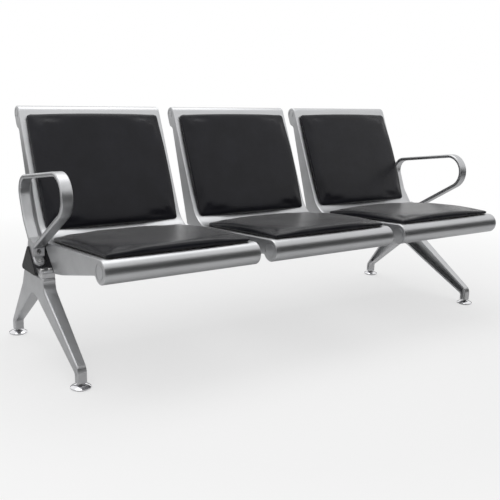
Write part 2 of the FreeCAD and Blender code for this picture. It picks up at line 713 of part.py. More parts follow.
def make_leg_bolts():
    """For the +X leg: two bolts down through the clamp and two up into the beam."""
    bolts = []
    for x in clamp_bolt_xs():
        clamp = cap_bolt(CLAMP_BOLT_LENGTH)
        clamp.translate(FreeCAD.Vector(x, CLAMP_BOLT_Y, BEAM_BOTTOM_Z + CLAMP_HEIGHT))
        bolts.append(clamp)
    for y in HEAD_BOLT_YS:
        bolt = cap_bolt(LEG_HEAD_DEPTH + BOLT_PAST_WALL)
        bolt.rotate(FreeCAD.Vector(0, 0, 0), FreeCAD.Vector(1, 0, 0), 180)
        bolt.translate(FreeCAD.Vector(head_bolt_x(), y, BEAM_BOTTOM_Z - LEG_HEAD_DEPTH))
        bolts.append(bolt)
    return Part.makeCompound(bolts)


# Armrests


def above_ridge(spot):
    """A side-profile point from its y and its height over the beam's ridge."""
    return (spot[0], ridge_z + spot[1])


def arm_root(x):
    """The solid knuckle where both ends of the loop meet on the beam's ridge."""
    points = [above_ridge(spot) for spot in (ARM_CROTCH, ARM_BACK, ARM_HEEL, ARM_HEEL_INSIDE)]
    points.append(face_point(ARM_SHOE_DOWN, 0.0))
    points.append(face_point(ARM_SHOE_DOWN, SHOE_THICKNESS))
    points.append(face_point(ARM_INSTEP_DOWN, ARM_INSTEP_RISE))
    points += [above_ridge(spot) for spot in (ARM_INSTEP, ARM_THROAT)]
    return slab(rounded_face(points, ARM_ROOT_RADII, x), ARM_WIDTH)


def arm_shoe():
    """The foot of the armrest, flat on the beam's front slope, with a round end."""
    half = ARM_WIDTH / 2
    start = FreeCAD.Vector(-half, -SHOE_END + half, 0)
    end = FreeCAD.Vector(half, -SHOE_END + half, 0)
    tip = FreeCAD.Vector(0, -SHOE_END, 0)
    top_right = FreeCAD.Vector(half, -half, 0)
    top_left = FreeCAD.Vector(-half, -half, 0)
    edges = [Part.Arc(start, tip, end).toShape()]
    edges.append(Part.LineSegment(end, top_right).toShape())
    edges.append(Part.LineSegment(top_right, top_left).toShape())
    edges.append(Part.LineSegment(top_left, start).toShape())
    shoe = Part.Face(Part.Wire(edges)).extrude(FreeCAD.Vector(0, 0, SHOE_THICKNESS))
    tip_edges = [edge for edge in shoe.Edges if edge.BoundBox.ZMin > SHOE_THICKNESS - PICK]
    return shoe.makeFillet(ARM_EDGE, [edge for edge in tip_edges if edge.BoundBox.YMax < -half - PICK])


def make_arm():
    """The +X armrest: a flat loop with round edges, its knuckle and its shoe."""
    stops = [ARM_ROOT, ARM_KNEE, ARM_TOP_REAR, ARM_TOP_FRONT, ARM_NOSE]
    radii = [ARM_THICKNESS, ARM_KNEE_RADIUS, ARM_REAR_RADIUS, ARM_NOSE_RADIUS, ARM_NOSE_RADIUS]
    middle = rounded_face(stops, radii, leg_x - ARM_WIDTH / 2)
    outer = slab(middle.makeOffset2D(ARM_THICKNESS / 2), ARM_WIDTH)
    inner = slab(middle.makeOffset2D(-ARM_THICKNESS / 2), ARM_WIDTH)
    loop = outer.cut(inner)
    band = loop.makeFillet(ARM_EDGE, [edge for edge in loop.Edges if edge.BoundBox.XLength < PICK])
    root = arm_root(leg_x - ARM_WIDTH / 2)
    shoe = on_front_slope(arm_shoe())
    shoe.translate(FreeCAD.Vector(leg_x, 0, 0))
    beam = slab(beam_face(0.0, leg_x - ARM_WIDTH), 2 * ARM_WIDTH)
    arm = band.fuse([root, shoe]).cut(beam)
    hole = BOLT_RADIUS + HOLE_CLEARANCE
    recess = BOLT_HEAD_RADIUS + HOLE_CLEARANCE
    holes = []
    for down in ARM_SCREWS:
        holes.append(slope_rod(leg_x, down, hole, SHOE_THICKNESS, 2 * SHOE_THICKNESS))
        holes.append(slope_rod(leg_x, down, recess, -SHOE_THICKNESS / 2, 5 * SHOE_THICKNESS))
    return one_solid(arm.cut(holes))


# Legs


def leg_plan():
    """The leg's plan as a block: one straight outer side and an inner side that tapers."""
    ankle_inner = leg_face_x - 2 * (ANKLE_RADIUS + ANKLE_SKIN)
    head_inner = leg_face_x - LEG_HEAD_WIDTH
    front = ANKLE_FRONT - ANKLE_RADIUS
    rear = ANKLE_REAR + ANKLE_RADIUS
    loop = [(leg_face_x, front), (leg_face_x, rear), (ankle_inner, rear), (head_inner, LEDGE_REAR)]
    loop += [(head_inner, LEDGE_FRONT), (ankle_inner, front), (leg_face_x, front)]
    corners = [FreeCAD.Vector(x, y, ANKLE_BOTTOM_Z) for x, y in loop]
    height = BEAM_BOTTOM_Z - ANKLE_BOTTOM_Z
    return Part.Face(Part.makePolygon(corners)).extrude(FreeCAD.Vector(0, 0, height))


def leg_outline(x):
    """The leg's side view: a head under the beam, a slanting shin and calf, an arch between."""
    shin = ANKLE_FRONT - ANKLE_RADIUS
    outer = ANKLE_REAR + ANKLE_RADIUS
    outline = [
        (LEDGE_REAR, BEAM_BOTTOM_Z),
        (LEDGE_FRONT, BEAM_BOTTOM_Z),
        (LEDGE_FRONT, LEG_SHIN_TOP_Z),
        (shin, LEG_SHIN_BOTTOM_Z),
        (shin, ANKLE_BOTTOM_Z),
        (shin + 2 * ANKLE_RADIUS, ANKLE_BOTTOM_Z),
        (shin + 2 * ANKLE_RADIUS, LEG_CALF_BOTTOM_Z),
        LEG_ARCH,
        (outer - 2 * ANKLE_RADIUS, LEG_HEEL_INNER_Z),
        (outer - 2 * ANKLE_RADIUS, ANKLE_BOTTOM_Z),
        (outer, ANKLE_BOTTOM_Z),
        (outer, LEG_HEEL_OUTER_Z),
        LEG_HIP,
    ]
    front = [LEG_TOE_RADIUS, LEG_TOE_RADIUS, LEG_KNEE_RADIUS, LEG_SHIN_RADIUS, 0, 0, LEG_CALF_RADIUS]
    rear = [LEG_ARCH_RADIUS, LEG_CALF_RADIUS, 0, 0, LEG_HEEL_RADIUS, LEG_HIP_RADIUS]
    return rounded_face(outline, front + rear, x)


def make_leg():
    """The +X leg: a cast Y, smooth outside and open like a channel towards the bench."""
    start = leg_face_x - LEG_HEAD_WIDTH
    head_bottom = BEAM_BOTTOM_Z - LEG_HEAD_DEPTH
    outline = leg_outline(start)
    body = slab(outline, LEG_HEAD_WIDTH)
    outside = [edge for edge in body.Edges if edge.BoundBox.XMin > leg_face_x - PICK]
    ends = (ANKLE_BOTTOM_Z, BEAM_BOTTOM_Z)
    rim = [edge for edge in outside if min(abs(edge.CenterOfMass.z - end) for end in ends) > PICK]
    body = body.makeFillet(LEG_EDGE, rim).common(leg_plan())
    pocket = slab(outline.makeOffset2D(-LEG_WALL), LEG_HEAD_WIDTH - LEG_WEB)
    block = Part.makeBox(LEG_HEAD_WIDTH, LEDGE_REAR - LEDGE_FRONT, LEG_HEAD_DEPTH)
    block.translate(FreeCAD.Vector(start, LEDGE_FRONT, head_bottom))
    keep = [block]
    bores = []
    for y in (ANKLE_FRONT, ANKLE_REAR):
        foot = FreeCAD.Vector(leg_x, y, ANKLE_BOTTOM_Z)
        keep.append(Part.makeCylinder(ANKLE_RADIUS, STUD_BORE_TOP_Z + LEG_WALL - ANKLE_BOTTOM_Z, foot))
        bores.append(Part.makeCylinder(STUD_RADIUS + STUD_CLEARANCE, STUD_BORE_TOP_Z - ANKLE_BOTTOM_Z, foot))
    tapped = BOLT_RADIUS + TAPPED_CLEARANCE
    depth = CLAMP_BOLT_LENGTH - CLAMP_HEIGHT + TAPPED_SPARE
    for x in clamp_bolt_xs():
        bores.append(Part.makeCylinder(tapped, depth, FreeCAD.Vector(x, CLAMP_BOLT_Y, BEAM_BOTTOM_Z - depth)))
    for y in HEAD_BOLT_YS:
        hole = FreeCAD.Vector(head_bolt_x(), y, head_bottom)
        bores.append(Part.makeCylinder(BOLT_RADIUS + HOLE_CLEARANCE, LEG_HEAD_DEPTH, hole))
    return one_solid(body.cut(pocket.cut(keep)).cut(bores))


def make_clamp():
    """The +X clamp that holds the beam's front corner down on the leg's ledge."""
    start = leg_face_x - LEG_HEAD_WIDTH
    slope = math.radians(face_angle)
    corner_run = BEAM_CORNER / math.tan(slope / 2)
    full = BEAM_HEIGHT / math.sin(slope)
    top_down = full - CLAMP_HEIGHT / math.sin(slope)
    points = [
        (CLAMP_FRONT, BEAM_BOTTOM_Z),
        (-BEAM_BASE / 2 - CLAMP_TOE_GAP, BEAM_BOTTOM_Z),
        face_point(full - corner_run, CLAMP_CLEARANCE),
        (face_point(top_down, CLAMP_CLEARANCE)[0], BEAM_BOTTOM_Z + CLAMP_HEIGHT),
        (CLAMP_FRONT, BEAM_BOTTOM_Z + CLAMP_HEIGHT),
    ]
    corners = [CLAMP_EDGE, CLAMP_EDGE, CLAMP_EDGE, CLAMP_EDGE, CLAMP_NOSE_RADIUS]
    clamp = slab(rounded_face(points, corners, start), LEG_HEAD_WIDTH)
    holes = []
    for x in clamp_bolt_xs():
        base = FreeCAD.Vector(x, CLAMP_BOLT_Y, BEAM_BOTTOM_Z)
        holes.append(Part.makeCylinder(BOLT_RADIUS + HOLE_CLEARANCE, CLAMP_HEIGHT, base))
    return one_solid(clamp.cut(holes))


# Levelling feet


def revolved(points, x, y):
    """A turned piece from (radius, z) points, standing at (x, y)."""
    ring = [FreeCAD.Vector(radius, 0, z) for radius, z in points]
    face = Part.Face(Part.makePolygon(ring + [ring[0]]))
    turned_piece = face.revolve(FreeCAD.Vector(0, 0, 0), FreeCAD.Vector(0, 0, 1), 360)
    turned_piece.translate(FreeCAD.Vector(x, y, 0))
    return turned_piece


def make_cup(x, y):
    """The chromed cup of a levelling foot: a low dome with a swivel socket inside."""
    v = FreeCAD.Vector
    recess = SOLE_RADIUS + SOLE_CLEARANCE
    socket = SWIVEL_RADIUS + SWIVEL_CLEARANCE
    ceiling = SOLE_THICKNESS + SWIVEL_HEIGHT + 2 * SWIVEL_CLEARANCE
    neck = STUD_RADIUS + SWIVEL_CLEARANCE
    dome_radius = (FOOT_RADIUS + CUP_TOP_RADIUS) / 2
    dome_z = (CUP_SHOULDER_Z + CUP_TOP_Z) / 2 + CUP_DOME_RISE
    edges = [Part.LineSegment(v(recess, 0, CUP_RIM_Z), v(FOOT_RADIUS, 0, CUP_RIM_Z)).toShape()]
    edges.append(Part.LineSegment(v(FOOT_RADIUS, 0, CUP_RIM_Z), v(FOOT_RADIUS, 0, CUP_SHOULDER_Z)).toShape())
    dome = Part.Arc(v(FOOT_RADIUS, 0, CUP_SHOULDER_Z), v(dome_radius, 0, dome_z), v(CUP_TOP_RADIUS, 0, CUP_TOP_Z))
    edges.append(dome.toShape())
    inner = [(CUP_TOP_RADIUS, CUP_TOP_Z), (neck, CUP_TOP_Z), (neck, ceiling), (socket, ceiling)]
    inner += [(socket, SOLE_THICKNESS), (recess, SOLE_THICKNESS), (recess, CUP_RIM_Z)]
    for start, end in zip(inner, inner[1:]):
        edges.append(Part.LineSegment(v(start[0], 0, start[1]), v(end[0], 0, end[1])).toShape())
    cup = Part.Face(Part.Wire(edges)).revolve(v(0, 0, 0), v(0, 0, 1), 360)
    cup.translate(v(x, y, 0))
    return cup


def make_sole(x, y):
    """The non-slip sole pressed into the cup."""
    points = [(0.0, 0.0), (SOLE_RADIUS - SOLE_CHAMFER, 0.0), (SOLE_RADIUS, SOLE_CHAMFER)]
    points += [(SOLE_RADIUS, SOLE_THICKNESS), (0.0, SOLE_THICKNESS)]
    return revolved(points, x, y)


def make_stud(x, y):
    """The foot's threaded stud: swivel disc, neck, spanner flats and shank in the ankle."""
    base = SOLE_THICKNESS + SWIVEL_CLEARANCE
    top = base + SWIVEL_HEIGHT
    flats_top = ANKLE_BOTTOM_Z - SWIVEL_CLEARANCE
    flats = flats_top - SPANNER_HEIGHT
    points = [(0.0, base), (SWIVEL_RADIUS, base), (SWIVEL_RADIUS, top), (STUD_RADIUS, top)]
    points += [(STUD_RADIUS, STUD_TOP_Z - STUD_CHAMFER), (STUD_RADIUS - STUD_CHAMFER, STUD_TOP_Z), (0.0, STUD_TOP_Z)]
    stud = revolved(points, x, y)
    corner = SPANNER_WIDTH / math.sqrt(3)
    ring = []
    for index in range(7):
        turn = math.radians(60 * index)
        ring.append(FreeCAD.Vector(x + corner * math.cos(turn), y + corner * math.sin(turn), flats))
    hexagon = Part.Face(Part.makePolygon(ring)).extrude(FreeCAD.Vector(0, 0, SPANNER_HEIGHT))
    return one_solid(stud.fuse(hexagon))


def build_beam_group():
    """Beam, caps, legs, clamps and armrests."""
    save("beam", make_beam())
    cap = make_cap()
    leg = make_leg()
    clamp = make_clamp()
    leg_bolts = make_leg_bolts()
    arm = make_arm()
    for name, side in (("right", 1), ("left", -1)):
        pieces = {"beam_cap": cap, "leg": leg, "leg_clamp": clamp, "leg_bolts": leg_bolts, "armrest": arm}
        for piece_name, piece in pieces.items():
            save(piece_name + "_" + name, piece if side > 0 else mirrored(piece))
        seat = SHOE_THICKNESS / 2
        screws = [slope_bolt(side * leg_x, down, seat) for down in ARM_SCREWS]
        save("armrest_screws_" + name, Part.makeCompound(screws))


def build_seats():
    """Three equal seats, numbered from the left."""
    rows = bracket_bolt_places()
    for index, centre in enumerate(seat_centres()):
        tag = "_" + str(index + 1)
        save("seat_panel" + tag, make_panel(centre))
        save("side_plate_left" + tag, make_plate(centre, -1))
        save("side_plate_right" + tag, make_plate(centre, 1))
        cushions = make_cushions(centre)
        save("seat_cushion" + tag, cushions[0])
        save("back_cushion" + tag, cushions[1])
        boards = make_boards(centre)
        save("seat_board" + tag, boards[0])
        save("back_board" + tag, boards[1])
        save("cushion_screws" + tag, make_pad_screws(centre))
        save("saddle_bracket_left" + tag, make_bracket(centre, -1))
        save("saddle_bracket_right" + tag, make_bracket(centre, 1))
        bolts = [slope_bolt(x, down, BRACKET_SHEET) for x, down in rows[index]]
        save("bracket_bolts" + tag, Part.makeCompound(bolts))


def build_feet():
    """Four levelling feet under the ankles."""
    for end, x in (("left", -leg_x), ("right", leg_x)):
        for row, y in (("front", ANKLE_FRONT), ("rear", ANKLE_REAR)):
            tag = "_" + row + "_" + end
            save("foot_cup" + tag, make_cup(x, y))
            save("foot_sole" + tag, make_sole(x, y))
            save("foot_stud" + tag, make_stud(x, y))


os.makedirs("parts", exist_ok=True)
build_beam_group()
build_seats()
build_feet()
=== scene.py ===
import math

import bmesh
import bpy
from mathutils import Matrix, Vector, noise


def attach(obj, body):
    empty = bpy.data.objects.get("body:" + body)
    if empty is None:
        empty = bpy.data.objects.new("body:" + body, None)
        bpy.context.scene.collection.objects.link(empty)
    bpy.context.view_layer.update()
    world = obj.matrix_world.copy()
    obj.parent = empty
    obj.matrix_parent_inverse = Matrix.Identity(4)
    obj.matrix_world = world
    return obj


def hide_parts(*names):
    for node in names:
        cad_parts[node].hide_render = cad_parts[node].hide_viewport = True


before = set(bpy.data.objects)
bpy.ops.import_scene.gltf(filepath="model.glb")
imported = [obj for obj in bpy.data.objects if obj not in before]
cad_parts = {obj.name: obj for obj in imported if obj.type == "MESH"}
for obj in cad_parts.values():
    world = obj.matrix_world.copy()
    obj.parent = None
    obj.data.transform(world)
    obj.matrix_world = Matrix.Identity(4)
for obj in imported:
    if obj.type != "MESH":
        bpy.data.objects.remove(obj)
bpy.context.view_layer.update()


# The beam is a rounded triangular steel tube, folded and seam welded, with dark powder coat over it.
# A moulded black plug closes each end. The coat has the fine orange peel of sprayed powder.

def finish(name, colour, metallic, roughness, specular=0.5):
    """A new Principled material and its shader node."""
    material = bpy.data.materials.new(name)
    material.use_nodes = True
    shader = material.node_tree.nodes["Principled BSDF"]
    shader.inputs["Base Color"].default_value = (*colour, 1.0)
    shader.inputs["Metallic"].default_value = metallic
    shader.inputs["Roughness"].default_value = roughness
    shader.inputs["Specular IOR Level"].default_value = specular
    return material, shader


def place_in_metres(material, scale=(1.0, 1.0, 1.0)):
    """Object coordinates in metres, stretched for a grain."""
    nodes = material.node_tree.nodes
    coords = nodes.new("ShaderNodeTexCoord")
    mapping = nodes.new("ShaderNodeMapping")
    mapping.inputs["Scale"].default_value = scale
    material.node_tree.links.new(coords.outputs["Object"], mapping.inputs["Vector"])
    return mapping.outputs["Vector"]


def grain(material, scale, detail=3.0, stretch=(1.0, 1.0, 1.0), rough=0.55):
    """A noise pattern with so many blotches in a metre."""
    node = material.node_tree.nodes.new("ShaderNodeTexNoise")
    node.inputs["Scale"].default_value = scale
    node.inputs["Detail"].default_value = detail
    node.inputs["Roughness"].default_value = rough
    material.node_tree.links.new(place_in_metres(material, stretch), node.inputs["Vector"])
    return node.outputs["Fac"]


def spread(material, value, low, high, start=0.0, end=1.0):
    """A pattern's 0 to 1 turned into a range of another quantity."""
    node = material.node_tree.nodes.new("ShaderNodeMapRange")
    node.inputs["From Min"].default_value = start
    node.inputs["From Max"].default_value = end
    node.inputs["To Min"].default_value = low
    node.inputs["To Max"].default_value = high
    material.node_tree.links.new(value, node.inputs["Value"])
    return node.outputs["Result"]


def two_tone(material, value, dark, light, start=0.3, end=0.7):
    """A colour that runs between two tones along a pattern."""
    ramp = material.node_tree.nodes.new("ShaderNodeValToRGB")
    ramp.color_ramp.elements[0].position = start
    ramp.color_ramp.elements[0].color = (*dark, 1.0)
    ramp.color_ramp.elements[1].position = end
    ramp.color_ramp.elements[1].color = (*light, 1.0)
    material.node_tree.links.new(value, ramp.inputs["Fac"])
    return ramp.outputs["Color"]


def relief(material, shader, value, depth, strength=1.0):
    """A raised grain of a real depth in metres, laid over any relief that is there."""
    links = material.node_tree.links
    node = material.node_tree.nodes.new("ShaderNodeBump")
    node.inputs["Distance"].default_value = depth
    node.inputs["Strength"].default_value = strength
    if shader.inputs["Normal"].is_linked:
        links.new(shader.inputs["Normal"].links[0].from_socket, node.inputs["Normal"])
    links.new(value, node.inputs["Height"])
    links.new(node.outputs["Normal"], shader.inputs["Normal"])


def feed(material, value, shader, socket):
    """A pattern led to one input of a shader node."""
    material.node_tree.links.new(value, shader.inputs[socket])


def tint(material, shader, value, dark, light):
    """A base colour that varies between two tones along a pattern."""
    feed(material, two_tone(material, value, dark, light), shader, "Base Color")


def polish(material, shader, value, low, high, start=0.3, end=0.7):
    """A roughness that varies along a pattern."""
    feed(material, spread(material, value, low, high, start, end), shader, "Roughness")


def dress(material, *names):
    """The finish on every face of these nodes."""
    for name in names:
        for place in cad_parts[name].material_slots:
            place.material = material


beam_coat, coat_shader = finish("dark_powder_coat", (0.03, 0.03, 0.033), 0.0, 0.5, 0.4)
coat_peel = grain(beam_coat, 420.0, 2.0)
coat_cloud = grain(beam_coat, 9.0, 4.0)
tint(beam_coat, coat_shader, coat_cloud, (0.024, 0.024, 0.027), (0.036, 0.036, 0.04))
polish(beam_coat, coat_shader, coat_peel, 0.42, 0.6)
relief(beam_coat, coat_shader, coat_peel, 0.00025)
dress(beam_coat, "beam")

cap_black, cap_shader = finish("black_moulded_plug", (0.012, 0.012, 0.013), 0.0, 0.5, 0.4)
cap_grain = grain(cap_black, 1100.0, 4.0)
polish(cap_black, cap_shader, cap_grain, 0.4, 0.62)
tint(cap_black, cap_shader, grain(cap_black, 30.0), (0.009, 0.009, 0.01), (0.016, 0.016, 0.017))
relief(cap_black, cap_shader, cap_grain, 0.0002)
dress(cap_black, "beam_cap_left", "beam_cap_right")


# The legs, the clamps on their ledges and the loop armrests are aluminium die castings, ground smooth,
# tumbled and given a thin silver lacquer. Each leg clamps the beam's front corner down with two bolts.

cast_silver, cast_shader = finish("silvered_casting", (0.52, 0.525, 0.535), 1.0, 0.4)
cast_skin = grain(cast_silver, 260.0, 5.0, rough=0.6)
cast_cloud = grain(cast_silver, 14.0, 3.0)
# Convex edges are painted lighter, towards 0.68: partly the lacquer worn thin there, and partly a painted
# highlight along the edges.
worn_and_highlit_edges = cast_silver.node_tree.nodes.new("ShaderNodeNewGeometry").outputs["Pointiness"]
cast_tone_with_edge_highlight = cast_silver.node_tree.nodes.new("ShaderNodeMix")
cast_tone_with_edge_highlight.data_type = "RGBA"
cast_tone_with_edge_highlight.inputs["B"].default_value = (0.68, 0.68, 0.69, 1.0)
feed(cast_silver, spread(cast_silver, worn_and_highlit_edges, 0.0, 0.5, 0.51, 0.58), cast_tone_with_edge_highlight, "Factor")
cast_field = two_tone(cast_silver, cast_cloud, (0.49, 0.495, 0.505), (0.56, 0.565, 0.575))
feed(cast_silver, cast_field, cast_tone_with_edge_highlight, "A")
feed(cast_silver, cast_tone_with_edge_highlight.outputs["Result"], cast_shader, "Base Color")
polish(cast_silver, cast_shader, cast_skin, 0.34, 0.47)
relief(cast_silver, cast_shader, cast_cloud, 0.0006, 0.5)
relief(cast_silver, cast_shader, cast_skin, 0.00006)
for end in ("left", "right"):
    dress(cast_silver, "leg_" + end, "leg_clamp_" + end, "armrest_" + end)


# Socket screws hold the legs, armrests and brackets, and round-head wood screws hold the cushions.
# They are steel with bright zinc, which clouds a little.

bright_zinc, zinc_shader = finish("bright_zinc", (0.7, 0.7, 0.71), 1.0, 0.2)
zinc_cloud = grain(bright_zinc, 160.0, 4.0)
tint(bright_zinc, zinc_shader, zinc_cloud, (0.6, 0.61, 0.63), (0.78, 0.77, 0.74))
polish(bright_zinc, zinc_shader, zinc_cloud, 0.14, 0.34)
relief(bright_zinc, zinc_shader, grain(bright_zinc, 1500.0, 2.0), 0.00002)
for end in ("left", "right"):
    dress(bright_zinc, "leg_bolts_" + end, "armrest_screws_" + end)
for seat in ("1", "2", "3"):
    dress(bright_zinc, "bracket_bolts_" + seat, "cushion_screws_" + seat)


# Saddle brackets are 5 mm steel plates, notched for the beam, welded under each seat and bolted to the
# beam's slope through a bent foot. They are painted grey, with brush drag and a little dust in the paint.

bracket_grey, bracket_shader = finish("bracket_paint", (0.33, 0.335, 0.34), 0.35, 0.42)
bracket_drag = grain(bracket_grey, 90.0, 5.0, (0.25, 1.0, 1.0))
tint(bracket_grey, bracket_shader, bracket_drag, (0.28, 0.285, 0.29), (0.37, 0.375, 0.38))
polish(bracket_grey, bracket_shader, bracket_drag, 0.34, 0.52)
relief(bracket_grey, bracket_shader, bracket_drag, 0.00015)
for seat in ("1", "2", "3"):
    dress(bracket_grey, "saddle_bracket_left_" + seat, "saddle_bracket_right_" + seat)


# The side plates are stamped from 2.5 mm steel sheet: a tray with a rolled rim and a disc in each roll's
# end. They are satin silver, and the press leaves the sheet's faint grain along the blades.

stamped_silver, stamped_shader = finish("stamped_silver", (0.5, 0.505, 0.515), 1.0, 0.38)
stamped_grain = grain(stamped_silver, 700.0, 4.0, (1.0, 0.12, 1.0))
stamped_cloud = grain(stamped_silver, 10.0, 3.0)
tint(stamped_silver, stamped_shader, stamped_cloud, (0.5, 0.505, 0.515), (0.58, 0.585, 0.595))
polish(stamped_silver, stamped_shader, stamped_grain, 0.34, 0.46)
relief(stamped_silver, stamped_shader, stamped_grain, 0.00004)
relief(stamped_silver, stamped_shader, stamped_cloud, 0.0005, 0.4)
for seat in ("1", "2", "3"):
    dress(stamped_silver, "side_plate_left_" + seat, "side_plate_right_" + seat)


# Each seat panel is one 2 mm steel sheet, rolled at the front and head and bent under the sitter's hips.
# It is brushed along the beam, and rows of 6 mm holes show from behind, where the cushions lie over it; the
# holes are drawn in the colour, near black, as painted shade.

SEAT_PITCH = 0.572
BEND = Vector((0.0, 0.1182, 0.367))
SEAT_TILT = math.radians(4.1)
BACK_LEAN = math.radians(24.1)
HOLE_PITCH = 0.0135
HOLE_RADIUS = 0.003
HOLES_TO_SIDE = 0.2092
# The holes' near black colour is painted shade: it stands for the dark seen through the openings, which are
# not cut.
HOLE_PAINTED_SHADE = (0.006, 0.006, 0.006, 1.0)
HOLE_ROUGHNESS = 0.9
SEAT_HOLES = (0.085, 0.405)
BACK_HOLES = (0.07, 0.38)


def arithmetic(material, work, first, second=None):
    """One step of arithmetic between patterns or numbers."""
    node = material.node_tree.nodes.new("ShaderNodeMath")
    node.operation = work
    for index, value in enumerate((first, second)):
        if value is None:
            continue
        if isinstance(value, (int, float)):
            node.inputs[index].default_value = value
        else:
            material.node_tree.links.new(value, node.inputs[index])
    return node.outputs["Value"]


def inside(material, value, low, high):
    """1 where a pattern lies between two numbers."""
    above = arithmetic(material, "GREATER_THAN", value, low)
    below = arithmetic(material, "LESS_THAN", value, high)
    return arithmetic(material, "MULTIPLY", above, below)


def row_of_holes(material, across, along, band):
    """Round holes in square rows on one flat of the panel."""
    squares = []
    for value in (across, along):
        repeated = arithmetic(material, "FLOORED_MODULO", value, HOLE_PITCH)
        from_hole = arithmetic(material, "SUBTRACT", repeated, HOLE_PITCH / 2)
        squares.append(arithmetic(material, "MULTIPLY", from_hole, from_hole))
    square = arithmetic(material, "ADD", *squares)
    hole = arithmetic(material, "LESS_THAN", square, HOLE_RADIUS ** 2)
    return arithmetic(material, "MULTIPLY", hole, inside(material, along, *band))


brushed_silver, brushed_shader = finish("brushed_silver", (0.5, 0.505, 0.515), 1.0, 0.36)
brush_lines = grain(brushed_silver, 900.0, 4.0, (0.012, 1.0, 1.0), 0.7)
brush_cloud = grain(brushed_silver, 6.0, 3.0, (0.5, 1.0, 1.0))
where = brushed_silver.node_tree.nodes.new("ShaderNodeSeparateXYZ")
feed(brushed_silver, place_in_metres(brushed_silver), where, "Vector")
seat_level = arithmetic(brushed_silver, "SUBTRACT", BEND.y, where.outputs["Y"])
seat_along = arithmetic(brushed_silver, "MULTIPLY", seat_level, 1 / math.cos(SEAT_TILT))
back_level = arithmetic(brushed_silver, "SUBTRACT", where.outputs["Z"], BEND.z)
back_along = arithmetic(brushed_silver, "MULTIPLY", back_level, 1 / math.cos(BACK_LEAN))
from_seat_edge = arithmetic(brushed_silver, "ADD", where.outputs["X"], SEAT_PITCH / 2)
in_seat = arithmetic(brushed_silver, "FLOORED_MODULO", from_seat_edge, SEAT_PITCH)
first_hole = SEAT_PITCH / 2 - HOLES_TO_SIDE
last_hole = SEAT_PITCH / 2 + HOLES_TO_SIDE
between_sides = inside(brushed_silver, in_seat, first_hole, last_hole)
across = arithmetic(brushed_silver, "SUBTRACT", in_seat, SEAT_PITCH / 2 - HOLE_PITCH / 2)
seat_rows = row_of_holes(brushed_silver, across, seat_along, SEAT_HOLES)
back_rows = row_of_holes(brushed_silver, across, back_along, BACK_HOLES)
all_rows = arithmetic(brushed_silver, "MAXIMUM", seat_rows, back_rows)
holes = arithmetic(brushed_silver, "MULTIPLY", between_sides, all_rows)
sheet = arithmetic(brushed_silver, "SUBTRACT", 1.0, holes)
# Sheet colour, or the painted shade of the holes.
sheet_or_shaded_hole = brushed_silver.node_tree.nodes.new("ShaderNodeMix")
sheet_or_shaded_hole.data_type = "RGBA"
sheet_or_shaded_hole.inputs["B"].default_value = HOLE_PAINTED_SHADE
sheet_tone = two_tone(brushed_silver, brush_cloud, (0.5, 0.505, 0.515), (0.56, 0.565, 0.575))
sheet_polish = spread(brushed_silver, brush_lines, 0.28, 0.44, 0.3, 0.7)
hole_rough = arithmetic(brushed_silver, "MULTIPLY", holes, HOLE_ROUGHNESS)
rough = arithmetic(brushed_silver, "MAXIMUM", sheet_polish, hole_rough)
feed(brushed_silver, holes, sheet_or_shaded_hole, "Factor")
feed(brushed_silver, sheet_tone, sheet_or_shaded_hole, "A")
feed(brushed_silver, sheet_or_shaded_hole.outputs["Result"], brushed_shader, "Base Color")
feed(brushed_silver, sheet, brushed_shader, "Metallic")
feed(brushed_silver, rough, brushed_shader, "Roughness")
relief(brushed_silver, brushed_shader, brush_lines, 0.00003)
relief(brushed_silver, brushed_shader, sheet, 0.001, 0.6)
dress(brushed_silver, "seat_panel_1", "seat_panel_2", "seat_panel_3")


# Under each cushion lies a 9 mm plywood board that the cushion's screws bite into. Its faces show the
# long grain of birch, with darker late wood and a fine open pore.

birch, birch_shader = finish("birch_plywood", (0.55, 0.42, 0.28), 0.0, 0.6)
birch_grain = grain(birch, 60.0, 6.0, (0.08, 1.0, 1.0), 0.65)
tint(birch, birch_shader, birch_grain, (0.42, 0.29, 0.17), (0.62, 0.48, 0.32))
polish(birch, birch_shader, birch_grain, 0.5, 0.72, 0.0, 1.0)
relief(birch, birch_shader, birch_grain, 0.0003)
for seat in ("1", "2", "3"):
    dress(birch, "seat_board_" + seat, "back_board_" + seat)


# A seat or back cushion is a foam slab under black upholstery leather, pulled round the board's edge and
# stapled below. The cover draws the corners down, so the pad swells from thin corners to a crown.

PAD_WIDTH = 0.478
PAD_CORNER = 0.011
PAD_BOW = 0.002
PAD_LIFT = 0.0006
SEAT_PAD = (0.042, 0.449)
BACK_PAD = (0.030, 0.421)
BOARD_INSET = 0.014
BOARD_TOP = 0.0104
PAD_RINGS = (
    (0.005, 0.0), (0.0018, 0.0035), (0.0, 0.0085), (0.0002, 0.0135), (0.0016, 0.0178),
    (0.0046, 0.0204), (0.0095, 0.0215), (0.022, 0.0221), (0.045, 0.0226), (0.08, 0.0231), (0.12, 0.0234),
)
CORNER_DRAW = 0.36
CORNER_STEPS = 6
SIDE_STEPS = 18
VOXEL = 0.005
EASINGS = 9
COVER_GIVE = 0.0035
SIDEWAYS_GIVE = 0.35
STAPLED_BELOW = 0.004
HELD_BELOW = 0.003
FREE_FROM = 0.013
SETTLING_FRAMES = 20
POCKET_ROOM = 0.004
POCKET_BELOW = 0.0035
WAVE_FROM = 0.012
WAVE_OVER = 0.008
WAVES_A_METRE = 9.0
WAVE_HEIGHT = 0.0011


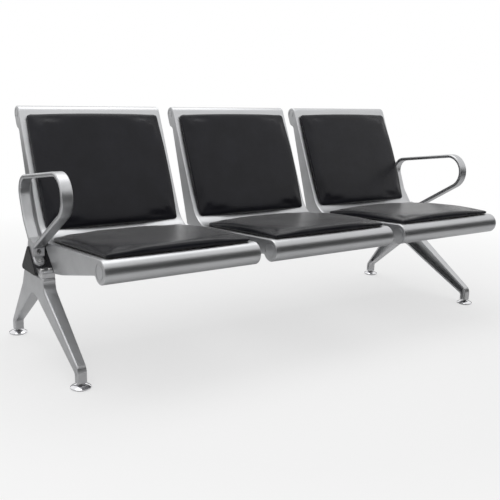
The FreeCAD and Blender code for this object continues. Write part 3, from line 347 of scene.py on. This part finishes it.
def pad_outline(width, length, corner):
    """Points round a pad: four round corners joined by sides that bow out a little."""
    points = []
    for quarter, (sign_x, sign_y) in enumerate(((1, 1), (-1, 1), (-1, -1), (1, -1))):
        middle = Vector((sign_x * (width / 2 - corner), sign_y * (length / 2 - corner)))
        for step in range(CORNER_STEPS + 1):
            turn = math.pi / 2 * (quarter + step / CORNER_STEPS)
            points.append(middle + Vector((math.cos(turn), math.sin(turn))) * corner)
        run = length if quarter in (1, 3) else width
        start = points[-1]
        way = Vector((0, -sign_y)) if quarter in (1, 3) else Vector((-sign_x, 0))
        for step in range(1, SIDE_STEPS):
            share = step / SIDE_STEPS
            swell = PAD_BOW * (1 - (2 * share - 1) ** 2)
            out = Vector((sign_x, 0)) if quarter in (1, 3) else Vector((0, sign_y))
            points.append(start + way * (run - 2 * corner) * share + out * swell)
    return points


def corner_pull(x, y, width, length):
    """How far the cover is drawn down at a place: 0 in the middle, 1 at a corner."""
    near_x = min(abs(x) / (width / 2), 1.0)
    near_y = min(abs(y) / (length / 2), 1.0)
    return (near_x * near_y) ** 2.5


def pad_form(name, length):
    """The foam slab, lying flat with its middle over the origin, as one closed skin."""
    mesh = bpy.data.meshes.new(name)
    skin = bmesh.new()
    rings = []
    for inset, height in PAD_RINGS:
        corner = PAD_CORNER + inset * 0.35
        outline = pad_outline(PAD_WIDTH - 2 * inset, length - 2 * inset, corner)
        ring = []
        for x, y in outline:
            pull = 1.0 - CORNER_DRAW * corner_pull(x, y, PAD_WIDTH, length)
            ring.append(skin.verts.new((x, y, PAD_LIFT + height * pull)))
        rings.append(ring)
    for lower, upper in zip(rings, rings[1:]):
        for index in range(len(lower)):
            following = (index + 1) % len(lower)
            skin.faces.new((lower[index], lower[following], upper[following], upper[index]))
    skin.faces.new(list(reversed(rings[0])))
    skin.faces.new(rings[-1])
    bmesh.ops.recalc_face_normals(skin, faces=skin.faces)
    skin.to_mesh(mesh)
    skin.free()
    form = bpy.data.objects.new(name, mesh)
    bpy.context.scene.collection.objects.link(form)
    return form


def settled(form):
    """The form's mesh with its modifiers applied."""
    graph = bpy.context.evaluated_depsgraph_get()
    result = bpy.data.meshes.new_from_object(form.evaluated_get(graph))
    form.modifiers.clear()
    form.data = result
    return form


def swollen(form, length):
    """Leather over foam, swollen under pressure, held flat where it is stapled to the board."""
    remesh = form.modifiers.new("even_skin", "REMESH")
    remesh.mode = "VOXEL"
    remesh.voxel_size = VOXEL
    settled(form)
    before = [vertex.co.copy() for vertex in form.data.vertices]
    held = form.vertex_groups.new(name="stapled")
    held.add([index for index, spot in enumerate(before) if spot.z < STAPLED_BELOW], 1.0, "REPLACE")
    cloth = form.modifiers.new("cover", "CLOTH")
    cloth.settings.quality = 6
    cloth.settings.mass = 0.25
    cloth.settings.tension_stiffness = 18.0
    cloth.settings.compression_stiffness = 12.0
    cloth.settings.shear_stiffness = 8.0
    cloth.settings.bending_stiffness = 6.0
    cloth.settings.use_pressure = True
    cloth.settings.uniform_pressure_force = 3.0
    cloth.settings.vertex_group_mass = "stapled"
    cloth.settings.effector_weights.gravity = 0.0
    cloth.collision_settings.use_collision = False
    for step in range(1, SETTLING_FRAMES + 1):
        bpy.context.scene.frame_set(step)
    settled(form)
    bpy.context.scene.frame_set(1)
    moves = [vertex.co - start for vertex, start in zip(form.data.vertices, before)]
    neighbours = [[] for start in before]
    for edge in form.data.edges:
        first, second = edge.vertices
        neighbours[first].append(second)
        neighbours[second].append(first)
    for round_of_easing in range(EASINGS):
        moves = [
            (move + sum((moves[index] for index in near), Vector())) / (len(near) + 1)
            for move, near in zip(moves, neighbours)
        ]
    for vertex, start, move in zip(form.data.vertices, before, moves):
        free = min(max((start.z - HELD_BELOW) / (FREE_FROM - HELD_BELOW), 0.0), 1.0)
        if move.length > COVER_GIVE:
            move = move * (COVER_GIVE / move.length)
        move.x *= SIDEWAYS_GIVE
        move.y *= SIDEWAYS_GIVE
        vertex.co = start + move * free
    smooth = form.modifiers.new("eased", "SMOOTH")
    smooth.factor = 0.5
    smooth.iterations = 1
    fine = form.modifiers.new("fine", "SUBSURF")
    fine.levels = 1
    fine.render_levels = 1
    settled(form)
    half = length / 2 - BOARD_INSET + POCKET_ROOM
    side = PAD_WIDTH / 2 - BOARD_INSET + POCKET_ROOM
    for vertex in form.data.vertices:
        if vertex.co.z < POCKET_BELOW and abs(vertex.co.x) < side and abs(vertex.co.y) < half:
            vertex.co.z = BOARD_TOP
        elif vertex.co.z < PAD_LIFT:
            vertex.co.z = PAD_LIFT
    return form


black_leather, leather_shader = finish("black_leather", (0.010, 0.010, 0.0135), 0.0, 0.42, 0.22)
leather_shader.inputs["Sheen Weight"].default_value = 0.5
leather_shader.inputs["Sheen Roughness"].default_value = 0.24
pebbles = black_leather.node_tree.nodes.new("ShaderNodeTexVoronoi")
pebbles.feature = "DISTANCE_TO_EDGE"
pebbles.inputs["Scale"].default_value = 620.0
feed(black_leather, place_in_metres(black_leather), pebbles, "Vector")
pebble_tops = spread(black_leather, pebbles.outputs["Distance"], 0.0, 1.0, 0.0, 0.22)
leather_pores = grain(black_leather, 1700.0, 3.0)
leather_cloud = grain(black_leather, 11.0, 4.0)
leather_creases = grain(black_leather, 38.0, 6.0, rough=0.6)
tint(black_leather, leather_shader, leather_cloud, (0.007, 0.007, 0.0095), (0.012, 0.012, 0.016))
polish(black_leather, leather_shader, leather_cloud, 0.2, 0.27)
relief(black_leather, leather_shader, leather_creases, 0.0004, 0.3)
relief(black_leather, leather_shader, pebble_tops, 0.00009, 0.8)
relief(black_leather, leather_shader, leather_pores, 0.00003)

seat_forward = Vector((0.0, -math.cos(SEAT_TILT), math.sin(SEAT_TILT)))
seat_up = Vector((0.0, math.sin(SEAT_TILT), math.cos(SEAT_TILT)))
back_up = Vector((0.0, math.sin(BACK_LEAN), math.cos(BACK_LEAN)))
back_forward = Vector((0.0, -math.cos(BACK_LEAN), math.sin(BACK_LEAN)))

pad_places = (("seat", SEAT_PAD, seat_forward, seat_up), ("back", BACK_PAD, back_up, back_forward))
for kind, reach, along, out in pad_places:
    length = reach[1] - reach[0]
    first = swollen(pad_form(kind + "_pad_form", length), length)
    middle = BEND + along * (reach[0] + reach[1]) / 2
    across = along.cross(out)
    for number in (1, 2, 3):
        mesh = first.data.copy()
        cushion = bpy.data.objects.new(kind + "_cushion_cover_" + str(number), mesh)
        bpy.context.scene.collection.objects.link(cushion)
        centre = middle + Vector(((number - 2) * SEAT_PITCH, 0.0, 0.0))
        stand = Matrix((across, along, out)).transposed().to_4x4()
        for vertex in mesh.vertices:
            spot = vertex.co
            rise = min(max((spot.z - WAVE_FROM) / WAVE_OVER, 0.0), 1.0)
            across_wave = spot.x * WAVES_A_METRE
            along_wave = spot.y * WAVES_A_METRE
            wave = noise.noise(Vector((across_wave, along_wave, number * 3.7 + len(kind))))
            spot.z += rise * wave * WAVE_HEIGHT
            vertex.co = centre + stand @ spot
        mesh.materials.clear()
        mesh.materials.append(black_leather)
        mesh.polygons.foreach_set("use_smooth", [True] * len(mesh.polygons))
        mesh.update()
        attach(cushion, "frame")
        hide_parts(kind + "_cushion_" + str(number))
    bpy.data.objects.remove(first)


# A levelling foot is a spun, chromed steel cup over a black rubber sole. A zinc-plated stud with a swivel
# disc, spanner flats and an M10 thread screws up into the leg's ankle and sets the height.

FOOT_X = 0.85
FOOT_YS = {"front": -0.2282952, "rear": 0.3297048}
THREAD_PITCH = 0.0015
THREAD_DEPTH = 0.0008
THREAD_STEPS = 6
STUD_SIDES = 28
STUD_RADIUS = 0.005
STUD_TOP = 0.062
THREAD_LEAD = 0.0015
SPANNER_BAND = (0.0137, 0.0177)
SPANNER_WIDTH = 0.014
SWIVEL_DISC = ((0.008, 0.0043), (0.0085, 0.0048), (0.0085, 0.0084), (0.008, 0.0089))
STUD_NECK = ((0.0048, 0.0089), (0.0048, 0.0137))

chrome, chrome_shader = finish("polished_chrome", (0.8, 0.8, 0.82), 1.0, 0.07)
chrome_smudge = grain(chrome, 45.0, 5.0)
polish(chrome, chrome_shader, chrome_smudge, 0.05, 0.16, 0.35, 0.75)
tint(chrome, chrome_shader, chrome_smudge, (0.76, 0.76, 0.78), (0.84, 0.84, 0.86))
relief(chrome, chrome_shader, grain(chrome, 300.0, 2.0), 0.00001)

sole_black, sole_shader = finish("sole_rubber", (0.02, 0.02, 0.02), 0.0, 0.75, 0.3)
sole_grain = grain(sole_black, 900.0, 4.0)
tint(sole_black, sole_shader, sole_grain, (0.014, 0.014, 0.014), (0.032, 0.031, 0.03))
polish(sole_black, sole_shader, sole_grain, 0.65, 0.9, 0.0, 1.0)
relief(sole_black, sole_shader, sole_grain, 0.0002)

thread_zinc, thread_shader = finish("thread_zinc", (0.6, 0.61, 0.62), 1.0, 0.3)
thread_cloud = grain(thread_zinc, 220.0, 4.0)
tint(thread_zinc, thread_shader, thread_cloud, (0.5, 0.51, 0.53), (0.68, 0.67, 0.63))
polish(thread_zinc, thread_shader, thread_cloud, 0.22, 0.42)
relief(thread_zinc, thread_shader, grain(thread_zinc, 1600.0, 2.0), 0.00002)


def turned_rings(skin, profile):
    """A turned length of the stud from (radius, height) points."""
    rings = []
    for radius, height in profile:
        ring = []
        for index in range(STUD_SIDES):
            turn = 2 * math.pi * index / STUD_SIDES
            ring.append(skin.verts.new((radius * math.cos(turn), radius * math.sin(turn), height)))
        rings.append(ring)
    return rings


def skin_rings(skin, rings):
    """Faces between rings, with both ends closed."""
    count = len(rings[0])
    for lower, upper in zip(rings, rings[1:]):
        for index in range(count):
            following = (index + 1) % count
            skin.faces.new((lower[index], lower[following], upper[following], upper[index]))
    skin.faces.new(list(reversed(rings[0])))
    skin.faces.new(rings[-1])


def thread_rings(skin, bottom, top, radius):
    """Rings whose radius follows the screw's groove round and up."""
    rings = []
    rows = round((top - bottom) / THREAD_PITCH * THREAD_STEPS)
    for row in range(rows + 1):
        height = bottom + (top - bottom) * row / rows
        lead = min(1.0, (top - height) / THREAD_LEAD)
        ring = []
        for index in range(STUD_SIDES):
            turn = index / STUD_SIDES
            phase = (height / THREAD_PITCH - turn) % 1.0
            groove = THREAD_DEPTH * (1 - abs(2 * phase - 1))
            reach = (radius - groove) * (0.85 + 0.15 * lead)
            angle = 2 * math.pi * turn
            ring.append(skin.verts.new((reach * math.cos(angle), reach * math.sin(angle), height)))
        rings.append(ring)
    return rings


def spanner_rings(skin, bottom, top, width):
    """A hexagon for a spanner, its corners turned off at both faces."""
    rings = []
    corner = width / math.sqrt(3)
    for height, cut in ((bottom, 0.93), (bottom + 0.0005, 1.0), (top - 0.0005, 1.0), (top, 0.93)):
        ring = []
        for index in range(6):
            turn = math.pi * index / 3
            reach = corner * cut
            ring.append(skin.verts.new((reach * math.cos(turn), reach * math.sin(turn), height)))
        rings.append(ring)
    return rings


for row, y in FOOT_YS.items():
    for end, x in (("left", -FOOT_X), ("right", FOOT_X)):
        tag = row + "_" + end
        dress(chrome, "foot_cup_" + tag)
        dress(sole_black, "foot_sole_" + tag)
        skin = bmesh.new()
        skin_rings(skin, turned_rings(skin, SWIVEL_DISC))
        skin_rings(skin, turned_rings(skin, STUD_NECK))
        skin_rings(skin, spanner_rings(skin, *SPANNER_BAND, SPANNER_WIDTH))
        skin_rings(skin, thread_rings(skin, SPANNER_BAND[1], STUD_TOP, STUD_RADIUS))
        bmesh.ops.recalc_face_normals(skin, faces=skin.faces)
        mesh = bpy.data.meshes.new("foot_stud_thread_" + tag)
        skin.to_mesh(mesh)
        skin.free()
        mesh.transform(Matrix.Translation((x, y, 0.0)))
        mesh.materials.append(thread_zinc)
        stud = bpy.data.objects.new("foot_stud_thread_" + tag, mesh)
        bpy.context.scene.collection.objects.link(stud)
        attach(stud, "foot_screw_" + tag)
        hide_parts("foot_stud_" + tag)


# The bench stands on a plain white floor under a large overhead softbox and a weaker one in front.
# A low dark card goes round the set and another stands close before the seats, as for any photograph
# of metal. They show only in its gloss.

def only_in_pictures(tree):
    """1 for what the camera, a gloss or a glass sees, and 0 for the light that falls on things."""
    path = tree.nodes.new("ShaderNodeLightPath")
    first = tree.nodes.new("ShaderNodeMath")
    first.operation = "MAXIMUM"
    tree.links.new(path.outputs["Is Camera Ray"], first.inputs[0])
    tree.links.new(path.outputs["Is Glossy Ray"], first.inputs[1])
    second = tree.nodes.new("ShaderNodeMath")
    second.operation = "MAXIMUM"
    tree.links.new(first.outputs["Value"], second.inputs[0])
    tree.links.new(path.outputs["Is Transmission Ray"], second.inputs[1])
    return second.outputs["Value"]


def flat_sheet(name, corners):
    """A flat stage sheet through four corners."""
    mesh = bpy.data.meshes.new(name)
    mesh.from_pydata(corners, [], [(0, 1, 2, 3)])
    sheet = bpy.data.objects.new(name, mesh)
    bpy.context.scene.collection.objects.link(sheet)
    return sheet


def floor_reach(material):
    """The square of a floor point's distance from the middle of the set."""
    apart = material.node_tree.nodes.new("ShaderNodeSeparateXYZ")
    feed(material, place_in_metres(material), apart, "Vector")
    across_set = arithmetic(material, "MULTIPLY", apart.outputs["X"], apart.outputs["X"])
    along_set = arithmetic(material, "MULTIPLY", apart.outputs["Y"], apart.outputs["Y"])
    return arithmetic(material, "ADD", across_set, along_set)


FLOOR_HALF = 30.0
floor = flat_sheet(
    "floor",
    [(x * FLOOR_HALF, y * FLOOR_HALF, 0) for x, y in ((-1, -1), (1, -1), (1, 1), (-1, 1))],
)
floor_white, floor_shader = finish("floor_white", (0.9, 0.9, 0.9), 0.0, 0.9, 0.1)
floor_tree = floor_white.node_tree
glow = floor_tree.nodes.new("ShaderNodeEmission")
glow.inputs["Color"].default_value = (1.0, 1.0, 1.0, 1.0)
blend = floor_tree.nodes.new("ShaderNodeMixShader")
camera_only = floor_tree.nodes.new("ShaderNodeLightPath").outputs["Is Camera Ray"]
from_middle = arithmetic(floor_white, "SQRT", floor_reach(floor_white))
paper_fade = spread(floor_white, from_middle, 0.62, 1.0, 1.1, 2.6)
floor_tree.links.new(arithmetic(floor_white, "MULTIPLY", camera_only, paper_fade), blend.inputs["Fac"])
floor_tree.links.new(floor_shader.outputs["BSDF"], blend.inputs[1])
floor_tree.links.new(glow.outputs["Emission"], blend.inputs[2])
floor_tree.links.new(blend.outputs["Shader"], floor_tree.nodes["Material Output"].inputs["Surface"])
floor.data.materials.append(floor_white)

CARD_RADIUS = 2.6
CARD_HEIGHT = 0.5
CARD_FACETS = 64
FRONT_CARD_Y = -0.8
FRONT_CARD_REACH = 2.2
FRONT_CARD_BAND = (0.2, 0.84)
card_mesh = bpy.data.meshes.new("dark_card")
card_points = []
card_faces = []
for index in range(CARD_FACETS):
    turn = 2 * math.pi * index / CARD_FACETS
    card_points.append((CARD_RADIUS * math.cos(turn), CARD_RADIUS * math.sin(turn), 0.0))
    card_points.append((CARD_RADIUS * math.cos(turn), CARD_RADIUS * math.sin(turn), CARD_HEIGHT))
for index in range(CARD_FACETS):
    after = (index + 1) % CARD_FACETS
    card_faces.append((2 * index, 2 * after, 2 * after + 1, 2 * index + 1))
for x, z in ((-1, 0), (1, 0), (1, 1), (-1, 1)):
    card_points.append((x * FRONT_CARD_REACH, FRONT_CARD_Y, FRONT_CARD_BAND[z]))
card_faces.append(tuple(range(2 * CARD_FACETS, 2 * CARD_FACETS + 4)))
card_mesh.from_pydata(card_points, [], card_faces)
card = bpy.data.objects.new("dark_card", card_mesh)
bpy.context.scene.collection.objects.link(card)
card_grey, card_shader = finish("card_grey", (0.1, 0.1, 0.1), 0.0, 1.0, 0.0)
card_mesh.materials.append(card_grey)
card.visible_camera = False
card.visible_diffuse = False
card.visible_shadow = False
card.visible_transmission = False

world = bpy.data.worlds.new("studio")
world.use_nodes = True
bpy.context.scene.world = world
studio = world.node_tree
fill_light = studio.nodes["Background"]
fill_light.inputs["Color"].default_value = (1.0, 1.0, 1.0, 1.0)
fill_light.inputs["Strength"].default_value = 0.55
seen_light = studio.nodes.new("ShaderNodeBackground")
seen_light.inputs["Color"].default_value = (1.0, 1.0, 1.0, 1.0)
seen_light.inputs["Strength"].default_value = 1.0
either = studio.nodes.new("ShaderNodeMixShader")
studio.links.new(only_in_pictures(studio), either.inputs["Fac"])
studio.links.new(fill_light.outputs["Background"], either.inputs[1])
studio.links.new(seen_light.outputs["Background"], either.inputs[2])
studio.links.new(either.outputs["Shader"], studio.nodes["World Output"].inputs["Surface"])


def softbox(name, spot, aim, width, height, power):
    """A rectangular studio lamp that faces a point."""
    lamp = bpy.data.lights.new(name, "AREA")
    lamp.shape = "RECTANGLE"
    lamp.size = width
    lamp.size_y = height
    lamp.energy = power
    holder = bpy.data.objects.new(name, lamp)
    holder.location = spot
    holder.rotation_euler = (Vector(aim) - Vector(spot)).to_track_quat("-Z", "Y").to_euler()
    bpy.context.scene.collection.objects.link(holder)
    return holder


softbox("overhead_softbox", (-0.1, 0.5, 2.9), (0.0, 0.1, 0.3), 3.6, 1.8, 27.0)
softbox("front_softbox", (-2.6, -2.4, 1.9), (0.0, 0.0, 0.4), 1.4, 1.4, 14.0).visible_glossy = False

CAMERA_PLACE = Vector((-1.6049, -2.1037, 0.8643))
CAMERA_YAW = math.radians(35.543)
CAMERA_PITCH = math.radians(12.653)
CAMERA_ROLL = 0.0299
PICTURE_WIDTH = 500.0
FOCAL_LENGTH = 729.74
heading = Vector((math.sin(CAMERA_YAW), math.cos(CAMERA_YAW), 0.0))
forward = heading * math.cos(CAMERA_PITCH) + Vector((0.0, 0.0, -math.sin(CAMERA_PITCH)))
level = Vector((math.cos(CAMERA_YAW), -math.sin(CAMERA_YAW), 0.0))
upright = level.cross(forward)
right = level * math.cos(CAMERA_ROLL) + upright * math.sin(CAMERA_ROLL)
up = upright * math.cos(CAMERA_ROLL) - level * math.sin(CAMERA_ROLL)
lens = bpy.data.cameras.new("camera")
lens.sensor_width = 36.0
lens.lens = lens.sensor_width * FOCAL_LENGTH / PICTURE_WIDTH
camera = bpy.data.objects.new("camera", lens)
camera.matrix_world = Matrix.Translation(CAMERA_PLACE) @ Matrix((right, up, -forward)).transposed().to_4x4()
bpy.context.scene.collection.objects.link(camera)
bpy.context.scene.camera = camera
bpy.context.scene.view_settings.view_transform = "Standard"
